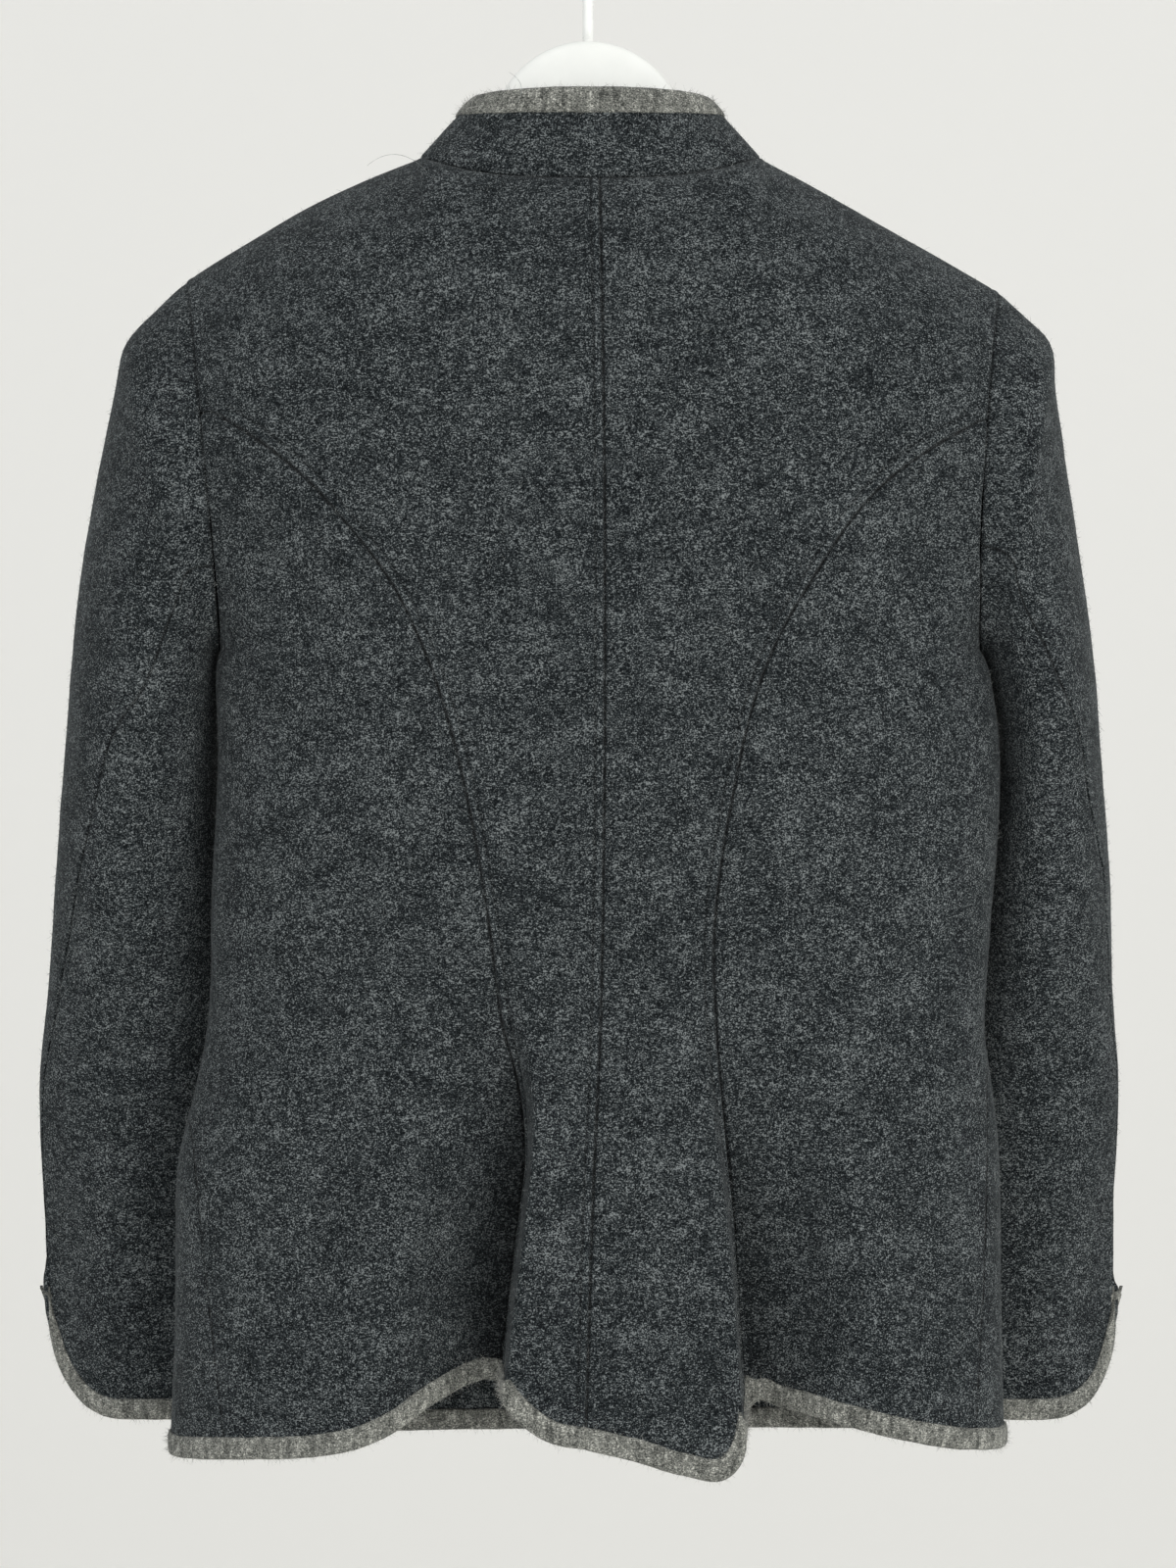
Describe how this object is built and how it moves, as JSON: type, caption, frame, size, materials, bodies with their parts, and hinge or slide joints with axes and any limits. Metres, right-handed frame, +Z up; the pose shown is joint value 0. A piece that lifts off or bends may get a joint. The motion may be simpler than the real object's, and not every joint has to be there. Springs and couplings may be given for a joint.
{
  "type": "jacket on a hanger",
  "caption": "Hip-length boiled-wool jacket with a stand collar, curved back seams, a flared tail and light bound edges, hanging open below on a moulded hanger.",
  "frame": {"origin": "the point of the hook's inside that bears on the rail", "axes": "+Z up; the jacket's back faces -Y and its front +Y; +X is to the right as seen from behind"},
  "size_m": [0.5996, 0.1989, 0.8497],
  "materials": {
    "cloth": "felted wool, matt",
    "binding": "knitted wool, matt",
    "hanger_plastic": "smooth white",
    "hook_wire": "white coated wire"
  },
  "bodies": {
    "root": {"back_centre_left": "cloth", "back_centre_right": "cloth", "back_side_left": "cloth", "back_side_right": "cloth", "front_left": "cloth", "front_right": "cloth", "sleeve_top_left": "cloth", "sleeve_top_right": "cloth", "sleeve_under_left": "cloth", "sleeve_under_right": "cloth", "collar": "cloth", "collar_binding": "binding", "hem_binding": "binding", "front_binding_left": "binding", "front_binding_right": "binding", "cuff_binding_left": "binding", "cuff_binding_right": "binding", "hanger_body": "hanger_plastic", "hanger_hook": "hook_wire"}
  },
  "joints": []
}
